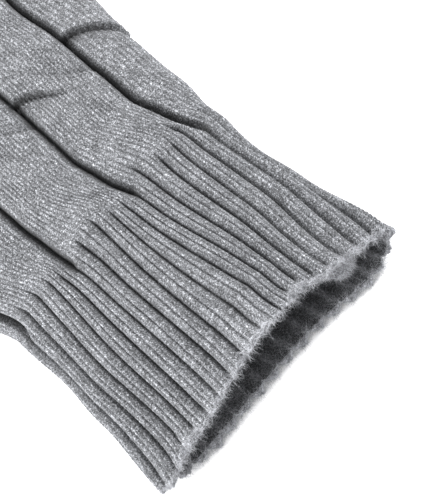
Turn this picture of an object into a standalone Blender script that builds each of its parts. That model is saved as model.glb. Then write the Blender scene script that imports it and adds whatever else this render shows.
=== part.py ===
"""A pair of knitted mittens with ribbed cuffs, lying on their palms side by side.

Each mitten is a flattened knitted tube: a ribbed cuff, a hand, a finger pocket with a closed tip, and a thumb
set into the side of the hand. The back and the palm are separate panels, linked by a seam inside the
little-finger side. Metres, +Z up, +Y from the cuffs to the fingertips. The origin is on the table, in the
middle of the pair.
"""

import math

import bmesh
import bpy
from mathutils import Vector

# Driving dimensions of one mitten
LENGTH = 0.2455
CUFF_LENGTH = 0.064
KNUCKLE_Y = 0.150
WALL = 0.003
SEAM_GAP = 0.0004
HINGE_GAP = 0.0008
SPACING = 0.136

# How the flattened tube's section is shared between its flat palm and its arched back
FLAT_SHARE = 0.62
ARCH_POWER = 0.85

# Along the mitten: distance from the cuff's edge, half width to the thumb side, half width to the seam side, height,
# and the height of the widest line, which sinks towards the table as the cuff opens out
STATIONS = (
    (0.000, 0.0450, 0.0450, 0.0240, 0.0060),
    (0.020, 0.0434, 0.0406, 0.0215, 0.0062),
    (0.042, 0.0420, 0.0385, 0.0195, 0.0071),
    (0.064, 0.0413, 0.0377, 0.0190, 0.0076),
    (0.080, 0.0480, 0.0392, 0.0200, 0.0080),
    (0.097, 0.0560, 0.0405, 0.0212, 0.0085),
    (0.117, 0.0565, 0.0422, 0.0220, 0.0088),
    (0.137, 0.0475, 0.0442, 0.0220, 0.0088),
    (0.152, 0.0460, 0.0455, 0.0215, 0.0086),
    (0.175, 0.0460, 0.0460, 0.0205, 0.0082),
    (0.200, 0.0425, 0.0425, 0.0180, 0.0072),
    (0.220, 0.0350, 0.0350, 0.0145, 0.0058),
    (0.234, 0.0235, 0.0235, 0.0100, 0.0040),
    (0.2410, 0.0120, 0.0120, 0.0074, 0.00296),
)
CAST_ON_DEPTH = 0.003
TIP_END = STATIONS[-1][0]

# The thumb: its hinge point beside the hand, its lean from the fingers, and its own stations
THUMB_X = -0.053
THUMB_Y = 0.117
THUMB_LEAN = math.radians(38)
THUMB_BASE_RADIUS = 0.0201
THUMB_HOLE_RADIUS = 0.0206
THUMB_STATIONS = (
    (-0.021, 0.0193, 0.0193, 0.0182, 0.00728),
    (0.000, 0.0189, 0.0189, 0.0178, 0.00712),
    (0.009, 0.0164, 0.0164, 0.0174, 0.00696),
    (0.016, 0.0146, 0.0146, 0.0168, 0.00672),
    (0.030, 0.0144, 0.0144, 0.0154, 0.00616),
    (0.042, 0.0122, 0.0122, 0.0128, 0.00512),
    (0.050, 0.0082, 0.0082, 0.0092, 0.00368),
    (0.0535, 0.0048, 0.0048, 0.0074, 0.00296),
)
THUMB_END = THUMB_STATIONS[-1][0]

# Heights of the fold lines, at the top of the back, and of the thumb's pivot
WRIST_FOLD_Z = 0.0190
FINGER_FOLD_Z = 0.0216
THUMB_PIVOT_Z = 0.0090

# Seams and linking ridges
SEAM_RADIUS = 0.0011
TIP_SEAM_RADIUS = 0.0016
JOIN_SEAM_RADIUS = 0.0009
SEAM_SIDES = 1
SEAM_END_SIZE = (0.0075, 0.0085, 0.0034)
SEAM_END_X = 0.027
SEAM_END_Y = 0.0095
FINGER_SEAM_END = 0.208
JOIN_SEAM_START = math.radians(-70)
JOIN_SEAM_END = math.radians(52)

# Facets
BACK_ANGLES = [math.radians(1.2 + 177.6 * i / 12) for i in range(13)]
SIDE_ANGLES = [math.radians(a) for a in (-1.4, -22, -45, -68, -90)]
CUTTER_SEGMENTS = 36
SHARP_ANGLE = math.radians(50)

GREY_YARN = (0.235, 0.237, 0.243, 1.0)
THREAD = (0.165, 0.167, 0.173, 1.0)
KNIT_ROUGHNESS = 0.9


def along(stations, y):
    """The values of a station table at y, on a smooth curve through its rows."""
    last = len(stations) - 1
    k = max(0, min(last - 1, sum(row[0] <= y for row in stations) - 1))
    lower, upper = stations[k], stations[k + 1]
    span = upper[0] - lower[0]
    t = (y - lower[0]) / span
    values = []
    for i in range(1, len(lower)):
        before, after = stations[max(k - 1, 0)], stations[min(k + 2, last)]
        start = (upper[i] - before[i]) / (upper[0] - before[0]) * span
        end = (after[i] - lower[i]) / (after[0] - lower[0]) * span
        values.append(
            (2 * t**3 - 3 * t**2 + 1) * lower[i]
            + (t**3 - 2 * t**2 + t) * start
            + (3 * t**2 - 2 * t**3) * upper[i]
            + (t**3 - t**2) * end
        )
    return values


def back_point(thumb_half, seam_half, height, side, angle, inset=0.0):
    """A point on the arched back: angle 0 is the seam side, and half a turn is the thumb side."""
    half = (seam_half if math.cos(angle) >= 0 else thumb_half) - inset
    return half * math.cos(angle), side + (height - side - inset) * math.sin(angle) ** ARCH_POWER


def palm_point(half, side, angle, inset=0.0):
    """A point on the palm between the widest line, at angle 0, and the flat bottom, at a quarter turn below."""
    flat = FLAT_SHARE * half
    return flat + (half - inset - flat) * math.cos(angle), side + (side - inset) * math.sin(angle)


def back_columns(thumb_half, seam_half, height, side, inset):
    return [back_point(thumb_half, seam_half, height, side, angle, inset) for angle in BACK_ANGLES]


def palm_columns(thumb_half, seam_half, height, side, inset):
    seam_side = [palm_point(seam_half, side, angle, inset) for angle in SIDE_ANGLES]
    thumb_side = [palm_point(thumb_half, side, angle, inset) for angle in SIDE_ANGLES]
    return [(-x, z) for x, z in thumb_side] + seam_side[::-1]


def ring_columns(thumb_half, seam_half, height, side, inset):
    values = (thumb_half, seam_half, height, side, inset)
    return back_columns(*values) + palm_columns(*values)


def new_material(name, colour, roughness):
    material = bpy.data.materials.new(name)
    material.use_nodes = True
    shader = material.node_tree.nodes["Principled BSDF"]
    shader.inputs["Base Color"].default_value = colour
    shader.inputs["Roughness"].default_value = roughness
    shader.inputs["Metallic"].default_value = 0.0
    material.diffuse_color = colour
    return material


def link(obj, collection, colour):
    """Puts a piece in its collection, with a knit material of its own."""
    collection.objects.link(obj)
    obj.data.materials.append(new_material(obj.name, colour, KNIT_ROUGHNESS))
    return obj


def move_to(obj, collection):
    """Takes an object that an operator made out of the scene's collection."""
    for other in list(obj.users_collection):
        other.objects.unlink(obj)
    collection.objects.link(obj)


def shell(name, place_rows, columns, closed, collection):
    """A knitted wall: a loft through rows of its outer face and its inner face, WALL apart."""
    mesh = bpy.data.meshes.new(name)
    shape = bmesh.new()
    layers = []
    for inset in (0.0, WALL):
        layers.append([[shape.verts.new(point) for point in row] for row in place_rows(columns, inset)])
    outer, inner = layers
    count = len(outer[0])
    for k in range(len(outer) - 1):
        for i in range(count if closed else count - 1):
            j = (i + 1) % count
            shape.faces.new((outer[k][i], outer[k][j], outer[k + 1][j], outer[k + 1][i]))
            shape.faces.new((inner[k][i], inner[k + 1][i], inner[k + 1][j], inner[k][j]))
    for i in range(count if closed else count - 1):
        j = (i + 1) % count
        shape.faces.new((outer[0][i], inner[0][i], inner[0][j], outer[0][j]))
        shape.faces.new((outer[-1][i], outer[-1][j], inner[-1][j], inner[-1][i]))
    if not closed:
        for k in range(len(outer) - 1):
            shape.faces.new((outer[k][0], outer[k + 1][0], inner[k + 1][0], inner[k][0]))
            shape.faces.new((outer[k][-1], inner[k][-1], inner[k + 1][-1], outer[k + 1][-1]))
    bmesh.ops.recalc_face_normals(shape, faces=shape.faces)
    shape.to_mesh(mesh)
    shape.free()
    mesh.shade_smooth()
    mesh.set_sharp_from_angle(angle=SHARP_ANGLE)
    return link(bpy.data.objects.new(name, mesh), collection, GREY_YARN)


def cord(name, points, radius, collection):
    """A round cord through points, with closed ends."""
    curve = bpy.data.curves.new(name, "CURVE")
    curve.dimensions = "3D"
    curve.bevel_depth = radius
    curve.bevel_resolution = SEAM_SIDES
    curve.use_fill_caps = True
    spline = curve.splines.new("POLY")
    spline.points.add(len(points) - 1)
    for spot, point in zip(spline.points, points):
        spot.co = (*point, 1.0)
    return link(bpy.data.objects.new(name, curve), collection, THREAD)


def hand_rows(start, end, count):
    """Rows of (x, y, z) across the mitten from start to end."""

    def place(columns, inset):
        rows = []
        for i in range(count + 1):
            y = start + (end - start) * i / count
            rows.append([(x, y, z) for x, z in columns(*along(STATIONS, y), inset)])
        return rows

    return place


def tip_rows(start, end, count):
    """As hand_rows, with the rows closer together towards the rounded tip."""

    def place(columns, inset):
        rows = []
        for i in range(count + 1):
            y = start + (end - start) * math.sin(math.pi / 2 * i / count)
            rows.append([(x, y, z) for x, z in columns(*along(STATIONS, y), inset)])
        return rows

    return place


def thumb_rows(count):
    """Rows of the thumb's panel, from the arc that turns in the hand's hole to the thumb's tip."""

    def place(columns, inset):
        starts = [-math.sqrt(THUMB_BASE_RADIUS**2 - x * x) for x, _ in columns(*THUMB_STATIONS[0][1:], inset)]
        rows = []
        for i in range(count + 1):
            share = math.sin(math.pi / 2 * i / count)
            row = []
            for k, start in enumerate(starts):
                y = start + (THUMB_END - start) * share
                x, z = columns(*along(THUMB_STATIONS, y), inset)[k]
                row.append(thumb_place(x, y, z))
            rows.append(row)
        return rows

    return place


def thumb_place(x, y, z):
    """A point of the thumb's own frame, in the mitten's."""
    return (
        THUMB_X + x * math.cos(THUMB_LEAN) - y * math.sin(THUMB_LEAN),
        THUMB_Y + x * math.sin(THUMB_LEAN) + y * math.cos(THUMB_LEAN),
        z,
    )


def side_seam_points(start, end, count):
    """The linking ridge's line: inside the wall of the little-finger side, at the widest line."""
    points = []
    for i in range(count + 1):
        y = start + (end - start) * i / count
        _, seam_half, _, side = along(STATIONS, y)
        points.append((seam_half - WALL - 2 * SEAM_GAP - SEAM_RADIUS, y, side))
    return points


def join_seam_points(on_back):
    """The ridge that links the thumb into its hole, as an arc under the back or over the palm."""
    points = []
    radius = THUMB_HOLE_RADIUS + JOIN_SEAM_RADIUS
    inset = WALL + 2 * SEAM_GAP + JOIN_SEAM_RADIUS
    for i in range(9):
        turn = JOIN_SEAM_START + (JOIN_SEAM_END - JOIN_SEAM_START) * i / 8
        x = THUMB_X + radius * math.cos(turn)
        y = THUMB_Y + radius * math.sin(turn)
        thumb_half, _, height, side = along(STATIONS, y)
        if on_back:
            angle = math.acos(x / (thumb_half - inset))
            z = back_point(thumb_half, thumb_half, height, side, angle, inset)[1]
        else:
            flat = FLAT_SHARE * thumb_half
            across = max(0.0, -x - flat) / (thumb_half - inset - flat)
            z = palm_point(thumb_half, side, -math.acos(across), inset)[1]
        points.append((x, y, z))
    return points


def tip_seam_points():
    half = along(STATIONS, TIP_END)[0] - TIP_SEAM_RADIUS
    height = STATIONS[-1][3] / 2
    points = []
    for i in range(7):
        x = half * (i / 3 - 1)
        bow = (LENGTH - TIP_SEAM_RADIUS - TIP_END - TIP_SEAM_RADIUS - SEAM_GAP) * (1 - (x / half) ** 2)
        points.append((x, TIP_END + SEAM_GAP + TIP_SEAM_RADIUS + bow, height))
    return points


def thumb_tip_points():
    half = THUMB_STATIONS[-1][1] - TIP_SEAM_RADIUS
    y = THUMB_END + SEAM_GAP + TIP_SEAM_RADIUS
    return [thumb_place(half * (i / 2 - 1), y, THUMB_STATIONS[-1][3] / 2) for i in range(5)]


def cut_thumb_hole(panel, cutters):
    """Opens a panel where the thumb turns."""
    bpy.ops.mesh.primitive_cylinder_add(
        vertices=CUTTER_SEGMENTS,
        radius=THUMB_HOLE_RADIUS / math.cos(math.pi / CUTTER_SEGMENTS),
        depth=0.1,
        location=(THUMB_X, THUMB_Y, 0),
    )
    cutter = bpy.context.object
    cutter.name = f"cutter_{panel.name}"
    cutter.hide_render = True
    cutter.display_type = "WIRE"
    move_to(cutter, cutters)
    hole = panel.modifiers.new("thumb_hole", "BOOLEAN")
    hole.operation = "DIFFERENCE"
    hole.solver = "EXACT"
    hole.object = cutter
    return cutter


def seam_end(name, collection):
    """The linked seam's end, a small lump of yarn folded inside the cuff."""
    bpy.ops.mesh.primitive_uv_sphere_add(segments=12, ring_count=6, radius=0.5)
    lump = bpy.context.object
    lump.name = name
    for vertex in lump.data.vertices:
        for axis in range(3):
            vertex.co[axis] *= SEAM_END_SIZE[axis]
    lump.location = (SEAM_END_X, SEAM_END_Y, WALL + SEAM_GAP + SEAM_END_SIZE[2] / 2)
    lump.data.shade_smooth()
    for other in list(lump.users_collection):
        other.objects.unlink(lump)
    return link(lump, collection, THREAD)


def make_cuff(side, parts):
    lower, upper = CAST_ON_DEPTH + SEAM_GAP, CUFF_LENGTH - HINGE_GAP / 2
    rows = hand_rows(lower, upper, 6)
    seam_line = side_seam_points(lower + 0.001, upper - 0.002, 6)
    return [
        shell(f"{side}_cuff_rib_back", rows, back_columns, False, parts),
        shell(f"{side}_cuff_rib_palm", rows, palm_columns, False, parts),
        shell(f"{side}_cuff_cast_on_edge", hand_rows(0.0, CAST_ON_DEPTH, 1), ring_columns, True, parts),
        cord(f"{side}_cuff_side_seam", seam_line, SEAM_RADIUS, parts),
        seam_end(f"{side}_cuff_seam_end", parts),
    ]


def make_hand(side, parts, cutters):
    lower, upper = CUFF_LENGTH + HINGE_GAP / 2, KNUCKLE_Y - HINGE_GAP / 2
    rows = hand_rows(lower, upper, 8)
    back = shell(f"{side}_hand_back_panel", rows, back_columns, False, parts)
    palm = shell(f"{side}_hand_palm_panel", rows, palm_columns, False, parts)
    seam_line = side_seam_points(lower + 0.002, upper - 0.002, 6)
    return [
        back,
        palm,
        cut_thumb_hole(back, cutters),
        cut_thumb_hole(palm, cutters),
        cord(f"{side}_hand_side_seam", seam_line, SEAM_RADIUS, parts),
        cord(f"{side}_thumb_join_seam_back", join_seam_points(True), JOIN_SEAM_RADIUS, parts),
        cord(f"{side}_thumb_join_seam_palm", join_seam_points(False), JOIN_SEAM_RADIUS, parts),
    ]


def make_fingers(side, parts):
    lower, upper = KNUCKLE_Y + HINGE_GAP / 2, TIP_END
    rows = tip_rows(lower, upper, 10)
    seam_line = side_seam_points(lower + 0.002, FINGER_SEAM_END, 8)
    return [
        shell(f"{side}_finger_back_panel", rows, back_columns, False, parts),
        shell(f"{side}_finger_palm_panel", rows, palm_columns, False, parts),
        cord(f"{side}_finger_side_seam", seam_line, SEAM_RADIUS, parts),
        cord(f"{side}_finger_tip_seam", tip_seam_points(), TIP_SEAM_RADIUS, parts),
    ]


def make_thumb(side, parts):
    rows = thumb_rows(9)
    return [
        shell(f"{side}_thumb_back_panel", rows, back_columns, False, parts),
        shell(f"{side}_thumb_palm_panel", rows, palm_columns, False, parts),
        cord(f"{side}_thumb_tip_seam", thumb_tip_points(), TIP_SEAM_RADIUS, parts),
    ]


def mirror_across_yz(obj):
    """Turns a right-hand piece into its left-hand twin."""
    obj.location.x = -obj.location.x
    if obj.type == "CURVE":
        for spot in obj.data.splines[0].points:
            spot.co.x = -spot.co.x
        return
    shape = bmesh.new()
    shape.from_mesh(obj.data)
    for vertex in shape.verts:
        vertex.co.x = -vertex.co.x
    bmesh.ops.reverse_faces(shape, faces=shape.faces)
    shape.to_mesh(obj.data)
    shape.free()


def hang(pieces, name, point, parent, collection):
    """Parents pieces to a new empty at point, and leaves them where they are."""
    pivot = bpy.data.objects.new(name, None)
    pivot.empty_display_size = 0.02
    pivot.location = point
    pivot.parent = parent
    collection.objects.link(pivot)
    for piece in pieces:
        piece.parent = pivot
        piece.location -= Vector(point)
    return pivot


def make_mitten(side, x, parts, cutters):
    """One mitten, with its pieces on empties at the wrist, the knuckles and the thumb's base."""
    turn = 1 if side == "right" else -1
    groups = [
        ("hand_centre", (0.0, 0.0, 0.0), make_hand(side, parts, cutters)),
        ("wrist_fold", (0.0, CUFF_LENGTH, WRIST_FOLD_Z), make_cuff(side, parts)),
        ("finger_fold", (0.0, KNUCKLE_Y, FINGER_FOLD_Z), make_fingers(side, parts)),
        ("thumb_swing", (turn * THUMB_X, THUMB_Y, THUMB_PIVOT_Z), make_thumb(side, parts)),
    ]
    mitten = hang([], f"{side}_mitten", (x, -LENGTH / 2, 0.0), None, parts)
    for name, point, pieces in groups:
        if side == "left":
            for piece in pieces:
                mirror_across_yz(piece)
        hang(pieces, f"{side}_{name}", point, mitten, parts)


def main():
    for obj in list(bpy.data.objects):
        bpy.data.objects.remove(obj)
    parts = bpy.data.collections.new("knitted_mittens")
    cutters = bpy.data.collections.new("cutters")
    for collection in (parts, cutters):
        bpy.context.scene.collection.children.link(collection)
    make_mitten("right", -SPACING / 2, parts, cutters)
    make_mitten("left", SPACING / 2, parts, cutters)


main()
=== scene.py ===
"""Looks for the pair of knitted mittens: stitches, ribs, cables, fuzz, a floor, light and a camera."""

import math

import bpy
import numpy as np
from mathutils import Matrix, Vector


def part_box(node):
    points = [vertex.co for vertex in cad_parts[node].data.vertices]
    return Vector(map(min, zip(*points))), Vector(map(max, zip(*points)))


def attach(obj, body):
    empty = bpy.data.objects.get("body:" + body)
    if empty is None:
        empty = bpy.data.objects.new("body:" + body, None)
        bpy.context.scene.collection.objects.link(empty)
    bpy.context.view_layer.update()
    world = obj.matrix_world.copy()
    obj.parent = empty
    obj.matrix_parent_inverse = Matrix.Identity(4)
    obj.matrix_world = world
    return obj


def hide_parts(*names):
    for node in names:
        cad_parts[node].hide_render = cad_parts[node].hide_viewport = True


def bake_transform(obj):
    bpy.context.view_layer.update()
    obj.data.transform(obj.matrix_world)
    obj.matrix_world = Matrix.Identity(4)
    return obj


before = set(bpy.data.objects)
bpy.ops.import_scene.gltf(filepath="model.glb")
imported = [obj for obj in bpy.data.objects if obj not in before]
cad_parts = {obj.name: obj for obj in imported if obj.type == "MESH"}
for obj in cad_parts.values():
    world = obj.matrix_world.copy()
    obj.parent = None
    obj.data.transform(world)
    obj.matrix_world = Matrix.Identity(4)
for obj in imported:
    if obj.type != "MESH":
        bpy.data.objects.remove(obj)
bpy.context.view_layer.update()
MM = 0.001

# The CAD's mitten, in metres, as part.py has it: distance from the cuff's edge, half widths, height, widest line
LENGTH = 0.2455
SPACING = 0.136
WALL = 0.003
FLAT_SHARE = 0.62
ARCH_POWER = 0.85
STATIONS = (
    (0.000, 0.0450, 0.0450, 0.0240, 0.0060),
    (0.020, 0.0434, 0.0406, 0.0215, 0.0062),
    (0.042, 0.0420, 0.0385, 0.0195, 0.0071),
    (0.064, 0.0413, 0.0377, 0.0190, 0.0076),
    (0.080, 0.0480, 0.0392, 0.0200, 0.0080),
    (0.097, 0.0560, 0.0405, 0.0212, 0.0085),
    (0.117, 0.0565, 0.0422, 0.0220, 0.0088),
    (0.137, 0.0475, 0.0442, 0.0220, 0.0088),
    (0.152, 0.0460, 0.0455, 0.0215, 0.0086),
    (0.175, 0.0460, 0.0460, 0.0205, 0.0082),
    (0.200, 0.0425, 0.0425, 0.0180, 0.0072),
    (0.220, 0.0350, 0.0350, 0.0145, 0.0058),
    (0.234, 0.0235, 0.0235, 0.0100, 0.0040),
    (0.2410, 0.0120, 0.0120, 0.0074, 0.00296),
)
THUMB_X = -0.053
THUMB_Y = 0.117
THUMB_LEAN = math.radians(38)
THUMB_STATIONS = (
    (-0.021, 0.0193, 0.0193, 0.0182, 0.00728),
    (0.000, 0.0189, 0.0189, 0.0178, 0.00712),
    (0.009, 0.0164, 0.0164, 0.0174, 0.00696),
    (0.016, 0.0146, 0.0146, 0.0168, 0.00672),
    (0.030, 0.0144, 0.0144, 0.0154, 0.00616),
    (0.042, 0.0122, 0.0122, 0.0128, 0.00512),
    (0.050, 0.0082, 0.0082, 0.0092, 0.00368),
    (0.0535, 0.0048, 0.0048, 0.0074, 0.00296),
)
CUFF_END = 0.064
# Spans of the soft tube from one body to the next: along the mitten, and along the thumb from its root
WRIST_BEND = (0.050, 0.084)
KNUCKLE_BEND = (0.133, 0.170)
THUMB_BEND = (-0.001, 0.022)

# The knit: 35 ribs of two wales, gathered into 7 ropes of five ribs. Places round the tube count in ribs.
RIBS = 35
ROPES = 7
ROPE_RIBS = 5
FIRST_GUTTER = 4
BACK_MIDDLE = 7.16
WALES_PER_RIB = 2
THUMB_WALES = 32
# The mesh has so many columns and rows to a stitch, and the inner face keeps one row of four
COLUMNS_PER_WALE = 6
ROWS_PER_COURSE = 4
INNER_EVERY = 4
# Heights of a row of stitches in the rib and in the hand
RIB_COURSE = 0.00135
HAND_COURSE = 0.00178
# The ropes cross at this pitch, each rope so many mm later than the first crossing's height
CABLE_PITCH = 0.046
CROSSINGS = 4
FIRST_CROSSING = 0.1033
ROPE_STEPS = (1.0, 0.0, 4.5, 1.5, -2.0, 2.0, 0.5)
# How far, in mm, the gutters beside the second, third and fourth ropes of the back wander from their even places
GUTTERS = (
    (0.000, 0.0, 0.0, 0.0),
    (0.045, -1.0, -1.0, 0.5),
    (0.055, -1.5, -1.0, 0.0),
    (0.061, -2.5, -1.5, -0.5),
    (0.068, -2.6, -3.0, -2.2),
    (0.076, -0.5, -2.5, -3.2),
    (0.087, 1.5, -2.6, -5.8),
    (0.101, 2.0, -3.0, -8.0),
    (0.120, 2.0, -3.2, -8.0),
    (0.165, 0.5, -1.0, -3.0),
    (0.250, 0.0, 0.0, 0.0),
)


def ease(low, high, x):
    """0 below low, 1 above high, and a smooth step between."""
    t = np.clip((x - low) / (high - low), 0.0, 1.0)
    return t * t * (3 - 2 * t)


def along(stations, y):
    """The values of a station table at each y, on a smooth curve through its rows."""
    table = np.array(stations)
    last = len(table) - 1
    k = np.clip(np.searchsorted(table[:, 0], y, side="right") - 1, 0, last - 1)
    lower, upper = table[k], table[k + 1]
    before, after = table[np.maximum(k - 1, 0)], table[np.minimum(k + 2, last)]
    span = (upper[:, 0] - lower[:, 0])[:, None]
    t = ((y - lower[:, 0])[:, None] / span)
    start = (upper - before)[:, 1:] / (upper - before)[:, :1] * span
    end = (after - lower)[:, 1:] / (after - lower)[:, :1] * span
    return (
        (2 * t**3 - 3 * t**2 + 1) * lower[:, 1:]
        + (t**3 - 2 * t**2 + t) * start
        + (3 * t**2 - 2 * t**3) * upper[:, 1:]
        + (t**3 - t**2) * end
    )


def wobble(turn, y, seed, around, waves=6):
    """A smooth unevenness of about 1 that closes on itself; turn is the share of the way round, y in waves."""
    random = np.random.default_rng(seed)
    total = 0.0
    for _ in range(waves):
        angle, phase = random.uniform(0, 2 * math.pi, 2)
        scale = random.uniform(0.6, 1.5)
        count = round(around * scale * math.cos(angle))
        total = total + np.sin(2 * math.pi * (count * turn + scale * y * math.sin(angle)) + phase)
    return total / math.sqrt(waves / 2)


def section(thumb_half, seam_half, height, side, inset, sag=0.0, count=160):
    """A closed outline across the tube, from the middle of the back, over the seam side and under the palm.

    With sag the back sinks towards both sides, as it does round the opening."""
    back = np.linspace(0, math.pi / 2, count)
    palm = np.linspace(0, math.pi / 2, count // 2)
    seam_x, thumb_x = seam_half - inset, thumb_half - inset
    rises = []
    for across in (np.cos(back), -np.cos(back)):
        arch = np.sin(back) ** ARCH_POWER
        to_seam = np.clip((across - 0.15) / 0.85, 0, 1)
        to_thumb = np.clip((0.15 - across) / 1.15, 0, 1)
        sunk = np.where(
            across > 0.15, 0.22 * np.sin(back) ** 0.35 + 0.78 * (1 - to_seam**2) ** 1.7,
            0.36 * np.sin(back) ** 0.6 + 0.64 * (1 - to_thumb**1.5) ** 1.9,
        )
        rises.append((height - side - inset) * ((1 - sag) * arch + sag * sunk))
    seam_rise, thumb_rise = rises
    drop = max(side - inset, 0.0003)
    flat_seam, flat_thumb = FLAT_SHARE * seam_half, FLAT_SHARE * thumb_half
    x = np.concatenate([
        (seam_x * np.cos(back))[::-1],
        (flat_seam + (seam_x - flat_seam) * np.cos(palm))[1:],
        -(flat_thumb + (thumb_x - flat_thumb) * np.cos(palm))[::-1],
        -(thumb_x * np.cos(back))[1:-1],
    ])
    z = np.concatenate([
        (side + seam_rise)[::-1],
        (side - drop * np.sin(palm))[1:],
        (side - drop * np.sin(palm))[::-1],
        (side + thumb_rise)[1:-1],
    ])
    return x, z


def wrap(stations, ys, shares):
    """Points on the tube at rows ys and at shares of the way round, each from the middle of the back."""
    values = along(stations, ys)
    grid = np.zeros((*shares.shape, 3))
    girths = np.zeros(len(ys))
    for r, (thumb_half, seam_half, height, side) in enumerate(values):
        sag = 1 - float(ease(0.004, 0.034, ys[r])) if stations is HAND_SHAPE else 0.0
        x, z = section(thumb_half, seam_half, height, side, 0.0, sag)
        x, z = np.append(x, x[0]), np.append(z, z[0])
        walked = np.concatenate([[0.0], np.cumsum(np.hypot(np.diff(x), np.diff(z)))])
        girths[r] = walked[-1]
        at = (shares[r] % 1.0) * walked[-1]
        grid[r, :, 0] = np.interp(at, walked, x)
        grid[r, :, 2] = np.interp(at, walked, z)
        grid[r, :, 1] = ys[r]
    return grid, girths


def outward(grid):
    """Unit normals of a grid that closes on itself across its columns."""
    across = np.roll(grid, -1, axis=1) - np.roll(grid, 1, axis=1)
    up = np.gradient(grid, axis=0)
    normal = np.cross(across, up)
    return normal / np.maximum(np.linalg.norm(normal, axis=2, keepdims=True), 1e-12)


def stitches(wale, course):
    """Relief of knit stitches, 0 in the creases and 1 on the yarn: two slanted legs make each V."""
    p = wale % 1.0
    leg = np.abs(np.sin(2 * math.pi * p)) ** 0.75
    q = (course - 0.85 * np.abs(2 * p - 1)) % 1.0
    return leg * (0.35 + 0.65 * (1 - np.abs(2 * q - 1) ** 2.2))


def mesh_grid(name, grid, uv, fields):
    """A mesh of quads through a closed grid of points, with a uv for each point and named fields."""
    rows, columns = grid.shape[:2]
    r, c = np.meshgrid(np.arange(rows - 1), np.arange(columns), indexing="ij")
    d = (c + 1) % columns
    quads = np.stack([r * columns + c, r * columns + d, (r + 1) * columns + d, (r + 1) * columns + c], axis=-1)
    corners = np.stack([uv[r, c], uv[r, c + 1], uv[r + 1, c + 1], uv[r + 1, c]], axis=2)
    return mesh_from(name, grid.reshape(-1, 3), quads.reshape(-1, 4), corners.reshape(-1, 2), fields)


def mesh_from(name, points, faces, corners=None, fields=None):
    """A smooth-shaded object from points and faces, with a uv for each face corner and a value for each point."""
    mesh = bpy.data.meshes.new(name)
    sides = faces.shape[1]
    mesh.vertices.add(len(points))
    mesh.vertices.foreach_set("co", points.astype(np.float32).ravel())
    mesh.loops.add(faces.size)
    mesh.loops.foreach_set("vertex_index", faces.astype(np.int32).ravel())
    mesh.polygons.add(len(faces))
    mesh.polygons.foreach_set("loop_start", np.arange(0, faces.size, sides, dtype=np.int32))
    mesh.update(calc_edges=True)
    if corners is not None:
        layer = mesh.uv_layers.new(name="stitches")
        layer.data.foreach_set("uv", corners.astype(np.float32).ravel())
    for key, values in (fields or {}).items():
        attribute = mesh.attributes.new(key, "FLOAT", "POINT")
        attribute.data.foreach_set("value", values.astype(np.float32).ravel())
    mesh.validate()
    mesh.shade_smooth()
    obj = bpy.data.objects.new(name, mesh)
    bpy.context.scene.collection.objects.link(obj)
    return obj


# Rows past the CAD's last stations, where the knit closes on its seam, which lies a little above the table
TIP_Y = 0.2446
THUMB_TIP_Y = 0.0560
HAND_SHAPE = STATIONS + ((TIP_Y, 0.0060, 0.0060, 0.0016, 0.0008),)
THUMB_SHAPE = THUMB_STATIONS + ((THUMB_TIP_Y, 0.0036, 0.0036, 0.0016, 0.0008),)
TIP_LIFT = 0.0030
# The knit starts behind its rolled edge, and its two pieces meet above the wrist; the thumb starts inside the hand
EDGE_Y = 0.0019
SPLIT_Y = 0.112
THUMB_START = -0.0205
INNER_FLOOR = (-1, -1, 0.0024)
# The linked seams: a stitch's length, the radius of the one round the thumb's root, the height at the tips
LINK = 0.0016
THUMB_SEAM_REACH = 0.0212
TIP_SEAM_Z = 0.0036


def course_rows(start, end):
    """Row heights y, and the course number at each, finer in the rib than in the hand."""
    ys, y = [], start
    while y < end:
        ys.append(y)
        share = min(max((y - CUFF_END + 0.002) / 0.010, 0.0), 1.0)
        y += (RIB_COURSE + (HAND_COURSE - RIB_COURSE) * share) / ROWS_PER_COURSE
    ys.append(end)
    return np.array(ys), np.arange(len(ys)) / ROWS_PER_COURSE


def girths_of(stations, ys):
    """The way round the tube at each y."""
    return wrap(stations, ys, np.zeros((len(ys), 1)))[1]


def shares_round(phi, ys, girth):
    """How far round the tube each column runs: ribs fan at the opening and gather under the ropes."""
    y = ys[:, None] / MM
    g = girth[:, None] / MM
    x = (((phi[None, :] - BACK_MIDDLE) / RIBS + 0.5) % 1.0 - 0.5) * g
    cuff_end = CUFF_END / MM
    open_share = np.clip((cuff_end - y) / cuff_end, 0, 1)
    bump = np.exp(-(((x - 4) / np.where(x < 4, 7.5, 13.0)) ** 2))
    fan = 4.5 * bump * np.minimum((open_share / 0.735) ** 2.2, 1.15)
    in_rope = ((phi[None, :] - FIRST_GUTTER) / ROPE_RIBS) % 1.0
    gather = 0.4 * np.sin(math.pi * in_rope) * np.exp(-open_share / 0.3) * (1 - ease(cuff_end, 74, y))
    back = 1 - ease(0.25, 0.48, np.abs(x) / g)
    lean = -(4.0 + 0.05 * x) * ease(62, 84, y) * back
    uneven = 0.35 * wobble(phi[None, :] / RIBS, y / 45, 11, 5) * ease(0, 8, y)
    round_from = (phi[None, :] + 8.5) % RIBS - 8.5
    wander = 0.0
    reach = 2.4 + 2.6 * ease(cuff_end, 84, y)
    for k, shift in enumerate(along(GUTTERS, ys).T):
        away = np.clip(np.abs(round_from - FIRST_GUTTER - k * ROPE_RIBS) / reach, 0, 1)
        wander = wander + shift[:, None] * np.cos(math.pi / 2 * away) ** 2
    return x / g + (fan + gather + lean + uneven + wander) / g


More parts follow.
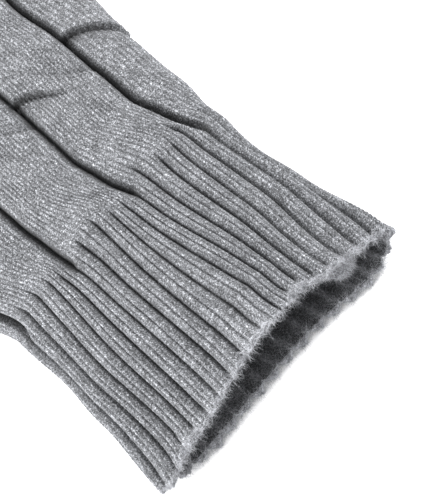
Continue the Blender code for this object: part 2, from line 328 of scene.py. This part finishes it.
def crossing(in_rope, y):
    """Relief, in mm, and shade where a rope's strands cross.

    The front strand runs from the rope's thumb side down to its seam side, over a fainter one that mirrors it."""
    total = np.zeros(np.broadcast(in_rope, y).shape)
    shade = np.zeros_like(total)
    for k in range(CROSSINGS):
        dv = y - (FIRST_CROSSING + k * CABLE_PITCH) / MM
        for f, v, most in ((in_rope, dv, 1.0), (1 - in_rope, -dv, 0.35)):
            strength = most * (1 - ease(0.30, 0.72, f))
            below = (6 - 26 * f**1.45) - v
            under = ease(-0.3, 0.6, below)
            roll = ease(-5.0, -0.2, below) * (1 - ease(-0.2, 0.5, below))
            total = total + strength * (0.7 * roll - 2.2 * under * np.exp(-np.maximum(below, 0) / 3.6))
            corner = 0.45 * (1 - ease(0.0, 0.4, f)) * np.exp(-np.maximum(below, 0) / 3.5)
            shade = shade + strength * under * (np.exp(-np.maximum(below, 0) / 0.95) + corner)
    return total, shade


def hand_relief(phi, ys, courses, girth):
    """Relief of the outer face in mm, and how high on its yarn each point lies, less down in a crease, with
    painted shade taken off in the gutters, the rib grooves and under crossing strands.
    """
    y = ys[:, None] / MM
    p = phi[None, :]
    rope_width = girth[:, None] / MM * ROPE_RIBS / RIBS
    random = np.random.default_rng(5)
    start = 60.0 + random.uniform(-2.0, 5.0, RIBS)
    start[4::5] = 58.0
    ropes = ease(0, 1, (y - start[np.round(p).astype(int) % RIBS]) / 5.0)
    depth = 1.0 + 0.12 * random.standard_normal(RIBS)
    in_rib = np.abs(2 * (p % 1.0) - 1)
    rib = 0.25 - 2.1 * in_rib**2.5 * depth[np.floor(p + 0.5).astype(int) % RIBS]
    rib = rib - 0.50 * np.exp(-((((p % 1.0) - 0.5) / 0.060) ** 2))
    in_rope = ((p - FIRST_GUTTER) / ROPE_RIBS) % 1.0
    gap = np.minimum(in_rope, 1 - in_rope) * rope_width
    narrow = np.clip(rope_width / 22, 0.3, 1.0)
    crown = 1.5 * (1 - np.exp(-((gap / 3.8) ** 1.35))) + 0.6 * np.sin(math.pi * in_rope)
    rope = narrow * (crown - 1.7 - 2.7 * np.exp(-((gap / 0.85) ** 2)))
    rope = rope + 0.3 * np.exp(-(((y - 75) / 6) ** 2)) * np.sin(math.pi * in_rope)
    fade = (1 - ease(214, 228, y)) * narrow
    step = np.array(ROPE_STEPS)[np.floor((p - FIRST_GUTTER) / ROPE_RIBS).astype(int) % ROPES]
    crossed, shade = crossing(in_rope, y - step)
    rope = rope + crossed * fade
    relief = (1 - ropes) * rib + ropes * rope - 0.45
    # painted shade, taken off the yarn's lift: in the gutters between ropes, under each crossing's strands and
    # down the rib grooves
    gutter = np.exp(-((gap / 1.05) ** 2)) * ease(55, 61, y)
    shade = ropes * shade * fade * 2.9 + 2.4 * gutter * fade + (1 - ropes) * 1.3 * in_rib**5
    wale = p * WALES_PER_RIB
    lift_and_shade = stitches(wale, courses[:, None])
    pull = 0.50 - 0.08 * ropes + 0.12 * wobble(p / RIBS, y / 16, 21, 12)
    relief = relief + pull * (lift_and_shade - 0.55) + 0.25 * wobble(p / RIBS, y / 30, 31, 4)
    return relief, lift_and_shade - shade


def hand_grid(inner=False):
    """The outer or inner face: points, normals, ribs and rows counted, the rows' heights, stitch relief with
    painted shade in the creases.
    """
    ys, courses = course_rows(EDGE_Y, TIP_Y)
    if inner:
        ys, courses = ys[::INNER_EVERY], courses[::INNER_EVERY]
    columns = RIBS * WALES_PER_RIB * COLUMNS_PER_WALE
    phi = np.arange(columns) * RIBS / columns
    girth = girths_of(HAND_SHAPE, ys)
    shares = shares_round(phi, ys, girth)
    grid, _ = wrap(HAND_SHAPE, ys, shares)
    normal = outward(grid)
    relief, lift_and_shade = hand_relief(phi, ys, courses, girth)
    if inner:
        # the ribs' backs, at least 1.1 mm under the outer face
        y = ys[:, None] / MM
        ropes = ease(62, 70, y)
        groove = np.abs(2 * (phi[None, :] % 1.0) - 1) ** 2.5
        in_rope = ((phi[None, :] - FIRST_GUTTER) / ROPE_RIBS) % 1.0
        gap = np.minimum(in_rope, 1 - in_rope) * girth[:, None] / MM * ROPE_RIBS / RIBS
        thin = 1.25 * np.exp(-(((y - EDGE_Y / MM) / 5.0) ** 2))
        deep = thin - 2.9 - (1 - ropes) * 1.5 * groove - ropes * 1.3 * np.exp(-((gap / 2.4) ** 2))
        relief = np.minimum(deep, relief - 1.1) * np.clip((TIP_Y - ys[:, None]) / 0.010, 0.05, 1)
        # painted shade: darker in the hollows between the ribs' backs, as seen from inside
        lift_and_shade = 0.65 - 0.75 * (1 - groove) ** 2 * (1 - ropes) + 0 * relief
    # the opening's corner at the seam stands up, and its lower edge reaches forward there
    corner = np.clip(grid[:, :, 0] / 0.045, 0, 1) ** 8 * (1 - ease(0.0, 0.03, ys))[:, None]
    grid[:, :, 2] += 0.0026 * corner
    low = (1 - ease(0.002, 0.012, grid[:, :, 2])) * (1 - ease(0.002, 0.022, ys))[:, None]
    tilt = (0.9 - 3.7 * np.exp(-(((grid[:, :, 0] - 0.032) / 0.014) ** 2))) * low
    grid[:, :, 1] += tilt * MM
    if not inner:
        soft = ease(0, 6, (ys[:, None] - EDGE_Y) / MM)
        edge = 0.55 * np.cos(2 * math.pi * phi[None, :]) + 0.45 * wobble(phi[None, :] / RIBS, 0, 41, 13)
        grid[:, :, 1] += (1 - soft) * edge * MM
    grid = grid + normal * (relief * MM)[:, :, None]
    # the outline draws in along the seam side and swells on the thumb side of the wrist
    narrow = 0.0007 + 0.0004 * np.exp(-((ys / 0.008) ** 2)) - 0.0022 * np.exp(-(((ys - 0.062) / 0.008) ** 2))
    grid[:, :, 0] -= narrow[:, None] * np.clip(grid[:, :, 0] / 0.040, 0, 1) ** 3
    wide = 0.0019 * np.exp(-(((ys - 0.058) / 0.014) ** 2))
    grid[:, :, 0] -= wide[:, None] * np.clip(-grid[:, :, 0] / 0.040, 0, 1) ** 3
    grid[:, :, 2] += TIP_LIFT * ease(0.2385, 0.2440, ys)[:, None]
    return grid, normal, phi, ys, courses, lift_and_shade


def lip_grid(outer, phi, inner_first):
    """The rolled cast-on edge, from the outer face's first row to the inner face's, and its stitch relief."""
    rows = 12
    first, last = outer[0], inner_first
    middle = (first + last) / 2
    half = (first - last) / 2
    reach = np.linalg.norm(half, axis=1, keepdims=True) * 1.05
    grid, lifts = [], []
    for i in range(rows):
        turn = math.pi * i / (rows - 1)
        point = middle + half * math.cos(turn)
        point[:, 1] -= (reach[:, 0] * math.sin(turn))
        lift_and_shade = 0.5 + 0.5 * np.sin(2 * math.pi * phi * 2 + 2.2 * turn)
        fluff = 0.15 * wobble(phi / RIBS, i / 5, 51, 45) + 0.25 * (lift_and_shade - 0.5)
        away = (point - middle) / np.maximum(np.linalg.norm(point - middle, axis=1, keepdims=True), 1e-9)
        grid.append(point + away * (fluff * MM * math.sin(turn) ** 0.5)[:, None] if 0 < i < rows - 1 else point)
        lifts.append(lift_and_shade)
    return np.array(grid), np.array(lifts)


def rest_on_table(points):
    """Presses whatever would reach below the table flat on it."""
    low, soft = 0.00012, 0.00030
    z = points[..., 2]
    points[..., 2] = low + soft * np.logaddexp(0, (z - low) / soft)
    return points


def place(points, side):
    """A right-hand mitten's points, from its own frame into the row's, mirrored for the left one."""
    points = points.copy()
    sign = 1 if side == "right" else -1
    points[..., 0] = sign * (points[..., 0] - SPACING / 2)
    points[..., 1] -= LENGTH / 2
    return points


def spot(side, x, y, z):
    """A point of one mitten's own frame, in the row's."""
    return tuple(place(np.array([x, y, z], float), side))


def knit_piece(name, side, grid, phi_total, courses, lift_and_shade, flip=False):
    """One knitted piece of a closed tube, as a mesh in the row's frame."""
    columns = grid.shape[1]
    wale = np.arange(columns + 1) * phi_total / columns
    uv = np.stack(np.broadcast_arrays(wale[None, :], courses[:, None]), axis=-1)
    obj = mesh_grid(name, place(grid, side), uv, {"lift_and_shade": lift_and_shade})
    if (side == "left") != flip:
        obj.data.flip_normals()
    return obj


def fuzz(name, side, grid, normal, per_mm2, length, width, seed, share=None):
    """Loose fibres that stand on a knitted surface, each a thin tapering ribbon of three faces.

    Lengths and widths are in mm, and share says how thick the fuzz grows at each point."""
    random = np.random.default_rng(seed)
    columns = grid.shape[1]
    beside = np.roll(grid, -1, axis=1)[:-1]
    area = np.linalg.norm(np.cross(beside - grid[:-1], grid[1:] - grid[:-1]), axis=2)
    if share is not None:
        area = area * share[:-1]
    count = int(area.sum() / MM**2 * per_mm2)
    cell = random.choice(area.size, count, p=(area / area.sum()).ravel())
    r, c = cell // columns, cell % columns
    u, v = random.uniform(0, 1, (2, count, 1))
    d = (c + 1) % columns
    near, far = (grid[row, c] * (1 - u) + grid[row, d] * u for row in (r, r + 1))
    root = near * (1 - v) + far * v
    stand = normal[r, c]
    heading = stand + 0.9 * random.standard_normal((count, 3))
    heading -= stand * np.minimum((heading * stand).sum(1, keepdims=True) - 0.15, 0)
    heading /= np.linalg.norm(heading, axis=1, keepdims=True)
    bend = random.standard_normal((count, 3)) * 0.55
    size = length * random.uniform(0.35, 1.3, (count, 1)) * MM
    middle = root + heading * size * 0.5 + bend * size * 0.12
    tip = root + heading * size * 0.9 + bend * size * 0.45
    flat = np.cross(heading, random.standard_normal((count, 3)))
    flat *= (width * MM / 2) / np.maximum(np.linalg.norm(flat, axis=1, keepdims=True), 1e-9)
    points = np.stack([root - flat, root + flat, middle + flat, middle - flat, tip], axis=1)
    points[..., 2] = np.maximum(points[..., 2], 0.00005)
    base = np.arange(count)[:, None] * 5
    quads = base + np.array([[0, 1, 2, 3]])
    tips = base + np.array([[3, 2, 4]])
    faces = np.concatenate([quads[:, [0, 1, 2]], quads[:, [0, 2, 3]], tips])
    return mesh_from(name, place(points, side).reshape(-1, 3), faces)


def lean(vectors):
    """Directions of the thumb's own frame, in the mitten's."""
    c, s = math.cos(THUMB_LEAN), math.sin(THUMB_LEAN)
    turned = vectors.copy()
    turned[..., 0] = vectors[..., 0] * c - vectors[..., 1] * s
    turned[..., 1] = vectors[..., 0] * s + vectors[..., 1] * c
    return turned


def thumb_place(points):
    """Points of the thumb's own frame, in the mitten's."""
    return lean(points) + np.array([THUMB_X, THUMB_Y, 0.0])


def thumb_grid(inner=False):
    """The outer or inner face of the thumb's plain knit, from inside the hand to its tip."""
    ys = [THUMB_START]
    while ys[-1] < THUMB_TIP_Y - 0.0003:
        ys.append(ys[-1] + HAND_COURSE * 0.95 / ROWS_PER_COURSE)
    ys = np.array(ys)
    courses = np.arange(len(ys)) / ROWS_PER_COURSE
    if inner:
        ys, courses = ys[::INNER_EVERY], courses[::INNER_EVERY]
    columns = THUMB_WALES * COLUMNS_PER_WALE
    wale = np.arange(columns) * THUMB_WALES / columns
    shares = np.repeat(((wale / THUMB_WALES + 0.5) % 1.0 - 0.5)[None, :], len(ys), axis=0)
    grid, _ = wrap(THUMB_SHAPE, ys, shares)
    # smaller at the root, which stays inside the hand
    out = ease(-0.021, 0.010, ys)[:, None]
    grid[:, :, 2] = 0.0010 + (grid[:, :, 2] - 0.0010) * (0.45 + 0.55 * out)
    grid[:, :, 0] *= np.where(grid[:, :, 0] < 0, 0.45 + 0.55 * out, 0.85 + 0.15 * out)
    normal = outward(grid)
    y = ys[:, None] / MM
    if inner:
        lift_and_shade = np.full_like(shares, 0.5)
        relief = -2.9 * np.clip((56.5 - y) / 12, 0.05, 1) * np.ones_like(shares)
    else:
        lift_and_shade = stitches(wale[None, :], courses[:, None])
        relief = 0.42 * (lift_and_shade - 0.5) + 0.35 * wobble(wale[None, :] / THUMB_WALES, y / 22, 61, 3) + 0.2
        relief = relief * np.clip((56.5 - y) / 5, 0.15, 1)
    grid = grid + normal * (relief * MM)[:, :, None]
    grid[:, :, 2] += TIP_LIFT * ease(0.0500, 0.0555, ys)[:, None]
    return thumb_place(grid), lean(normal), courses, lift_and_shade


def ridge(name, points, radius, side):
    """A linking seam: a round cord through points, pinched into stitches."""
    path = np.array(points, float)
    walked = np.concatenate([[0], np.cumsum(np.linalg.norm(np.diff(path, axis=0), axis=1))])
    count = max(int(walked[-1] / MM * 2.2), 12)
    at = np.linspace(0, walked[-1], count)
    line = np.stack([np.interp(at, walked, path[:, k]) for k in range(3)], axis=1)
    ahead = np.gradient(line, axis=0)
    ahead /= np.linalg.norm(ahead, axis=1, keepdims=True)
    side_way = np.cross(ahead, [0, 0, 1.0])
    side_way /= np.linalg.norm(side_way, axis=1, keepdims=True)
    up = np.cross(side_way, ahead)
    sides = 12
    turn = np.arange(sides) * 2 * math.pi / sides
    swell = 1 + 0.22 * np.sin(at[:, None] / LINK * 2 * math.pi + turn[None, :])
    close = np.sqrt(np.clip(np.minimum(at, walked[-1] - at) / (radius * 1.2), 0.02, 1))[:, None]
    reach = radius * swell * close
    grid = line[:, None, :] + reach[:, :, None] * (
        np.cos(turn)[None, :, None] * side_way[:, None, :] + np.sin(turn)[None, :, None] * up[:, None, :]
    )
    return knit_piece(name, side, rest_on_table(grid), 4, at / LINK, 0.5 + 0 * reach)


def node(tree, kind, **settings):
    """A new node with these properties."""
    made = tree.nodes.new(kind)
    for key, value in settings.items():
        setattr(made, key, value)
    return made


def maths(tree, operation, a, b=None, c=None):
    """A Math node on sockets or numbers, returning its output socket."""
    made = node(tree, "ShaderNodeMath", operation=operation)
    for socket, value in zip(made.inputs, (a, b, c)):
        if value is None:
            continue
        if isinstance(value, (int, float)):
            socket.default_value = value
        else:
            tree.links.new(value, socket)
    return made.outputs[0]


def knit_material(name, shade, contrast=1.0, sheen=0.25):
    """Heathered wool: light and dark fibres twisted into the yarn of each stitch, with painted shade down in the
    creases.
    """
    material = bpy.data.materials.new(name)
    material.use_nodes = True
    tree = material.node_tree
    shader = tree.nodes["Principled BSDF"]
    link = tree.links.new
    uv = node(tree, "ShaderNodeUVMap", uv_map="stitches").outputs[0]
    split = node(tree, "ShaderNodeSeparateXYZ")
    link(uv, split.inputs[0])
    wale, course = split.outputs[0], split.outputs[1]
    from_middle = maths(tree, "ABSOLUTE", maths(tree, "SUBTRACT", maths(tree, "FRACT", wale), 0.5))
    leg = maths(tree, "MULTIPLY", from_middle, 2.0)
    slanted = maths(tree, "SUBTRACT", course, maths(tree, "MULTIPLY", leg, 0.85))
    lift_and_shade = node(tree, "ShaderNodeAttribute", attribute_name="lift_and_shade").outputs[2]
    place_at = node(tree, "ShaderNodeNewGeometry").outputs[0]
    # each stitch its own tone
    cell = node(tree, "ShaderNodeCombineXYZ")
    link(maths(tree, "FLOOR", maths(tree, "MULTIPLY", wale, 2.0)), cell.inputs[0])
    link(maths(tree, "FLOOR", slanted), cell.inputs[1])
    tone = node(tree, "ShaderNodeTexWhiteNoise", noise_dimensions="2D")
    link(cell.outputs[0], tone.inputs[0])
    # fibres along the yarn of each leg
    along_leg = node(tree, "ShaderNodeCombineXYZ")
    across_yarn = maths(tree, "ADD", wale, maths(tree, "MULTIPLY", slanted, 0.25))
    link(maths(tree, "MULTIPLY", across_yarn, 9.0), along_leg.inputs[0])
    link(maths(tree, "MULTIPLY", slanted, 4.0), along_leg.inputs[1])
    fibres = node(tree, "ShaderNodeTexNoise", noise_dimensions="2D")
    fibres.inputs["Scale"].default_value = 1.0
    fibres.inputs["Detail"].default_value = 3.0
    link(along_leg.outputs[0], fibres.inputs[0])
    # bright and dark specks of heather, finer than a stitch
    specks = node(tree, "ShaderNodeTexNoise", noise_dimensions="3D")
    specks.inputs["Scale"].default_value = 2500.0
    specks.inputs["Detail"].default_value = 2.0
    link(place_at, specks.inputs[0])
    cloudy = node(tree, "ShaderNodeTexNoise", noise_dimensions="3D")
    cloudy.inputs["Scale"].default_value = 110.0
    cloudy.inputs["Detail"].default_value = 3.0
    link(place_at, cloudy.inputs[0])
    value = maths(tree, "MULTIPLY", maths(tree, "SUBTRACT", tone.outputs[0], 0.5), 0.5 * contrast)
    value = maths(tree, "MULTIPLY_ADD", maths(tree, "SUBTRACT", fibres.outputs[0], 0.5), 1.6 * contrast, value)
    value = maths(tree, "MULTIPLY_ADD", maths(tree, "SUBTRACT", specks.outputs[0], 0.5), 5.5 * contrast, value)
    value = maths(tree, "MULTIPLY_ADD", maths(tree, "SUBTRACT", cloudy.outputs[0], 0.5), 0.35 * contrast, value)
    # painted shade: the colour darkens where the stitch attribute is low, down in creases, gutters and grooves
    value = maths(tree, "MULTIPLY_ADD", maths(tree, "SUBTRACT", lift_and_shade, 0.55), 0.75, value)
    level = maths(tree, "MULTIPLY", maths(tree, "EXPONENT", value), shade)
    level = maths(tree, "MINIMUM", level, 0.85)
    colour = node(tree, "ShaderNodeCombineColor")
    link(maths(tree, "MULTIPLY", level, 0.970), colour.inputs[0])
    link(maths(tree, "MULTIPLY", level, 0.995), colour.inputs[1])
    link(maths(tree, "MULTIPLY", level, 1.060), colour.inputs[2])
    link(colour.outputs[0], shader.inputs["Base Color"])
    shader.inputs["Roughness"].default_value = 0.92
    shader.inputs["Specular IOR Level"].default_value = 0.25
    shader.inputs["Sheen Weight"].default_value = sheen
    shader.inputs["Sheen Roughness"].default_value = 0.45
    height = maths(tree, "MULTIPLY_ADD", fibres.outputs[0], 0.6, maths(tree, "MULTIPLY", specks.outputs[0], 0.5))
    bump = node(tree, "ShaderNodeBump")
    bump.inputs["Strength"].default_value = 0.6
    bump.inputs["Distance"].default_value = 0.0004
    link(height, bump.inputs["Height"])
    link(bump.outputs[0], shader.inputs["Normal"])
    return material


def plain_material(name, colour, roughness, sheen=0.0):
    """One even colour, for fibres too fine to show more, and for the floor."""
    material = bpy.data.materials.new(name)
    material.use_nodes = True
    shader = material.node_tree.nodes["Principled BSDF"]
    shader.inputs["Base Color"].default_value = (*colour, 1.0)
    shader.inputs["Roughness"].default_value = roughness
    shader.inputs["Specular IOR Level"].default_value = 0.2
    shader.inputs["Sheen Weight"].default_value = sheen
    return material


WOOL = knit_material("heather_wool", 0.092, 1.0, 0.1)
# painted shade: the inside's wool is a darker copy of the same wool
INSIDE_WOOL = knit_material("heather_wool_shaded_inside", 0.070, 0.7, 0.1)
# painted light: a lighter copy of the same wool for the rolled edge and the seam's tail, where fuzz catches the
# light
EDGE_WOOL = knit_material("heather_wool_edge", 0.17, 0.6, 0.1)
FUZZ = plain_material("wool_fibres", (0.197, 0.202, 0.216), 0.9, 0.1)
# painted light: lighter fibres for the rolled edge and the seam's tail
EDGE_FUZZ = plain_material("wool_fibres_edge", (0.345, 0.352, 0.372), 0.9, 0.2)
# painted shade: darker fibres for the inside of the opening
SHADED_FUZZ = plain_material("wool_fibres_shaded_inside", (0.133, 0.137, 0.147), 0.9, 0.1)


def dress(obj, material, *nodes):
    """Gives a piece its material, and hides the CAD nodes it stands for."""
    obj.data.materials.append(material)
    if nodes:
        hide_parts(*nodes)
    return obj


def side_seams(side, cuff, hand, fingers):
    """The linked ridges inside the seam side, one for each body."""
    for part, body in (("cuff", cuff), ("hand", hand), ("finger", fingers)):
        low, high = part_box(f"{side}_{part}_side_seam")
        first, last = low[1] + LENGTH / 2 + 0.0015, high[1] + LENGTH / 2 - 0.001
        at = np.linspace(first, last, 12)
        line = [(row[1] - WALL - 0.0024, y, row[3]) for row, y in zip(along(HAND_SHAPE, at), at)]
        obj = ridge(f"{side}_{part}_side_linking", line, 0.0010, side)
        dress(obj, INSIDE_WOOL, f"{side}_{part}_side_seam")
        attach(obj, body)


def thumb_seams(side, hand):
    """The linked ridges inside the hand, round the thumb's root on its back and palm faces."""
    for way in ("back", "palm"):
        line = []
        for turn in np.radians(np.linspace(-70, 52, 12)):
            x, y = THUMB_X + THUMB_SEAM_REACH * math.cos(turn), THUMB_Y + THUMB_SEAM_REACH * math.sin(turn)
            thumb_half, seam_half, height, middle = along(HAND_SHAPE, np.array([y]))[0]
            xs, zs = section(thumb_half, seam_half, height, middle, WALL + 0.0012)
            on_face = (zs > middle) if way == "back" else (zs < middle)
            order = np.argsort(xs[on_face])
            line.append((x, y, float(np.interp(x, xs[on_face][order], zs[on_face][order]))))
        obj = ridge(f"{side}_thumb_linking_{way}", line, 0.0008, side)
        dress(obj, INSIDE_WOOL, f"{side}_thumb_join_seam_{way}")
        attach(obj, hand)


def seam_tail(side, cuff):
    """The side seam's end, a fuzzy knitted lump folded inside the opening."""
    low, high = (np.array(corner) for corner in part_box(f"{side}_cuff_seam_end"))
    centre, half = (low + high) / 2, (high - low) / 2
    centre[0] = SPACING / 2 - abs(centre[0])
    centre[1] += LENGTH / 2
    rows, columns = 20, 28
    tall, turn = np.meshgrid(
        np.linspace(-1, 1, rows) * 1.52, np.arange(columns) * 2 * math.pi / columns, indexing="ij"
    )
    lump = np.stack([np.cos(tall) * np.cos(turn), np.sin(tall), np.cos(tall) * np.sin(turn)], axis=-1)
    knobs = 1 + 0.10 * np.sin(3 * turn + 4 * tall) * np.cos(tall)
    knobs = knobs + 0.06 * wobble(turn / (2 * math.pi), tall, 91, 4)
    centre, half = centre + [0, -0.003, 0.0030], half * [1.1, 1.2, 1.9]
    lump = lump * knobs[:, :, None] * half + centre
    obj = knit_piece(f"{side}_cuff_seam_tail", side, lump, 6, np.arange(rows) / 3, 0.55 + 0 * knobs, flip=True)
    dress(obj, EDGE_WOOL, f"{side}_cuff_seam_end")
    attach(obj, cuff)
    away = (lump - centre) / np.linalg.norm(lump - centre, axis=2, keepdims=True)
    obj = fuzz(f"{side}_cuff_seam_tail_fuzz", side, lump, away, 12.0, 1.6, 0.04, 75)
    dress(obj, EDGE_FUZZ)
    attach(obj, cuff)


def closures(side, fingers, thumb):
    """The linked ridges that close the tips of the fingers and of the thumb."""
    edge = along(HAND_SHAPE, np.array([TIP_Y]))[0][0]
    tip = [(edge * 0.98 * (i / 4 - 1), TIP_Y - 0.0012 * abs(i / 4 - 1) ** 3, TIP_SEAM_Z) for i in range(9)]
    obj = ridge(f"{side}_finger_tip_linking", tip, 0.0011, side)
    dress(obj, WOOL, f"{side}_finger_tip_seam")
    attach(obj, fingers)
    tip = thumb_place(np.array([(0.0030 * (i / 2 - 1), THUMB_TIP_Y, TIP_SEAM_Z) for i in range(5)]))
    obj = ridge(f"{side}_thumb_tip_linking", tip, 0.0010, side)
    dress(obj, WOOL, f"{side}_thumb_tip_seam")
    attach(obj, thumb)


def mitten(side):
    """Every piece of one mitten. The knit is one soft tube, in pieces from body to body."""
    hand, cuff, fingers, thumb = (f"{side}_{body}" for body in ("hand", "cuff", "fingers", "thumb"))

    def bend_cuff(obj):
        start, end = (spot(side, 0, y, 0.01) for y in WRIST_BEND)
        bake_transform(obj)

    def bend_fingers(obj):
        start, end = (spot(side, 0, y, 0.01) for y in KNUCKLE_BEND)
        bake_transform(obj)

    def bend_thumb(obj):
        start, end = (spot(side, *thumb_place(np.array([0.0, y, 0.0]))) for y in THUMB_BEND)
        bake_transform(obj)

    # the outer knit and its reverse
    outer, normal, phi, ys, courses, lift_and_shade = hand_grid()
    inner, inner_normal, _, inner_ys, inner_courses, inner_lift = hand_grid(inner=True)
    outer, inner = rest_on_table(outer), np.maximum(inner, INNER_FLOOR)
    total = RIBS * WALES_PER_RIB
    split, inner_split = int(np.searchsorted(ys, SPLIT_Y)), int(np.searchsorted(inner_ys, SPLIT_Y))
    for name, part, bend, solids in (
        ("cuff_and_wrist_knit", slice(0, split + 1), bend_cuff, ("cuff_rib_back", "cuff_rib_palm")),
        (
            "hand_and_finger_knit", slice(split, None), bend_fingers,
            ("hand_back_panel", "hand_palm_panel", "finger_back_panel", "finger_palm_panel"),
        ),
    ):
        obj = knit_piece(f"{side}_{name}", side, outer[part], total, courses[part], lift_and_shade[part])
        bend(dress(obj, WOOL, *(f"{side}_{solid}" for solid in solids)))
    for name, part, bend in (
        ("cuff_inside", slice(0, inner_split + 1), bend_cuff),
        ("hand_inside", slice(inner_split, None), bend_fingers),
    ):
        obj = knit_piece(
            f"{side}_{name}", side, inner[part], total, inner_courses[part], inner_lift[part], flip=True
        )
        bend(dress(obj, INSIDE_WOOL))
    lip, lip_lift = lip_grid(outer, phi, inner[0])
    lip = rest_on_table(lip)
    obj = knit_piece(f"{side}_cuff_rolled_edge", side, lip, total, np.arange(len(lip)) / 5, lip_lift, flip=True)
    dress(obj, EDGE_WOOL, f"{side}_cuff_cast_on_edge")
    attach(obj, cuff)

    # the thumb
    grid, thumb_normal, thumb_courses, thumb_lift = thumb_grid()
    grid = rest_on_table(grid)
    obj = knit_piece(f"{side}_thumb_knit", side, grid, THUMB_WALES, thumb_courses, thumb_lift)
    bend_thumb(dress(obj, WOOL, f"{side}_thumb_back_panel", f"{side}_thumb_palm_panel"))
    inside, _, inside_courses, inside_lift = thumb_grid(inner=True)
    inside = np.maximum(inside, INNER_FLOOR)
    obj = knit_piece(f"{side}_thumb_inside", side, inside, THUMB_WALES, inside_courses, inside_lift, flip=True)
    bend_thumb(dress(obj, INSIDE_WOOL))

    # fuzz, thicker along the two sides, at the rolled edge and inside the opening
    to_side = np.abs(outer[:, :, 0]) / np.abs(outer[:, :, 0]).max(axis=1, keepdims=True)
    hold = np.clip(lift_and_shade + 0.5, 0, 1) * (1 + 4.0 * to_side**8)
    for name, part, bend, rate in (
        ("cuff_fuzz", slice(0, split + 1), bend_cuff, 1.2),
        ("hand_fuzz", slice(split, None), bend_fingers, 0.9),
    ):
        obj = fuzz(f"{side}_{name}", side, outer[part], normal[part], rate, 1.1, 0.030, 71, share=hold[part])
        bend(dress(obj, FUZZ))
    obj = fuzz(f"{side}_thumb_fuzz", side, grid, thumb_normal, 0.9, 1.1, 0.030, 72)
    bend_thumb(dress(obj, FUZZ))
    away = outward(lip)
    if np.mean(away[5, :, 1]) > 0:
        away = -away
    obj = fuzz(f"{side}_cuff_edge_fuzz", side, lip, away, 12.0, 2.3, 0.042, 73)
    dress(obj, EDGE_FUZZ)
    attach(obj, cuff)
    near, mouth = np.searchsorted(inner_ys, (0.007, 0.045))
    for name, part, rate, material, seed in (
        ("cuff_lip_fuzz", slice(0, near), 7.0, FUZZ, 76),
        # the inside's fuzz takes the darker fibres: painted shade inside the opening
        ("cuff_inside_fuzz", slice(near - 2, mouth), 2.5, SHADED_FUZZ, 74),
    ):
        obj = fuzz(f"{side}_{name}", side, inner[part], -inner_normal[part], rate, 1.8, 0.045, seed)
        bend_cuff(dress(obj, material))

    side_seams(side, cuff, hand, fingers)
    thumb_seams(side, hand)
    seam_tail(side, cuff)
    closures(side, fingers, thumb)


for side in ("right", "left"):
    mitten(side)


def look_camera():
    """From the opening's side, 57 degrees up, turned clockwise about its own axis."""
    elevation, roll = math.radians(57), math.radians(49.4)
    target, distance = Vector(spot("right", 0.0098, 0.0339, 0.011)), 0.45
    back = Vector((0, -math.cos(elevation), math.sin(elevation)))
    right0 = Vector((1, 0, 0))
    up0 = Vector((0, math.sin(elevation), math.cos(elevation)))
    right = right0 * math.cos(roll) - up0 * math.sin(roll)
    up = right0 * math.sin(roll) + up0 * math.cos(roll)
    data = bpy.data.cameras.new("camera")
    data.lens = 127
    data.sensor_width = 36
    data.clip_start, data.clip_end = 0.01, 20
    camera = bpy.data.objects.new("camera", data)
    camera.matrix_world = Matrix((
        (right.x, up.x, back.x, target.x + back.x * distance),
        (right.y, up.y, back.y, target.y + back.y * distance),
        (right.z, up.z, back.z, target.z + back.z * distance),
        (0, 0, 0, 1),
    ))
    bpy.context.scene.collection.objects.link(camera)
    bpy.context.scene.camera = camera


def floor_and_light():
    """A pale floor under an even white sky, with one large soft lamp at each side of the mittens."""
    mesh = bpy.data.meshes.new("floor")
    mesh.from_pydata([(-6, -6, 0), (6, -6, 0), (6, 6, 0), (-6, 6, 0)], [], [(0, 1, 2, 3)])
    floor = bpy.data.objects.new("floor", mesh)
    mesh.materials.append(plain_material("pale_floor", (0.92, 0.92, 0.925), 0.9))
    bpy.context.scene.collection.objects.link(floor)
    world = bpy.data.worlds.new("studio")
    world.use_nodes = True
    world.node_tree.nodes["Background"].inputs[0].default_value = (1.0, 1.0, 1.0, 1.0)
    world.node_tree.nodes["Background"].inputs[1].default_value = 1.35
    bpy.context.scene.world = world
    for name, at, size, power in (
        ("key", (0.68, 0.06, 0.52), 0.6, 19.0),
        ("fill", (-0.68, 0.06, 0.30), 0.6, 17.0),
    ):
        light = bpy.data.lights.new(name, "AREA")
        light.size = size
        light.energy = power
        lamp = bpy.data.objects.new(name, light)
        lamp.location = at
        lamp.rotation_euler = (-Vector(at)).to_track_quat("-Z", "Y").to_euler()
        bpy.context.scene.collection.objects.link(lamp)


look_camera()
floor_and_light()
bpy.context.scene.view_settings.view_transform = "Standard"
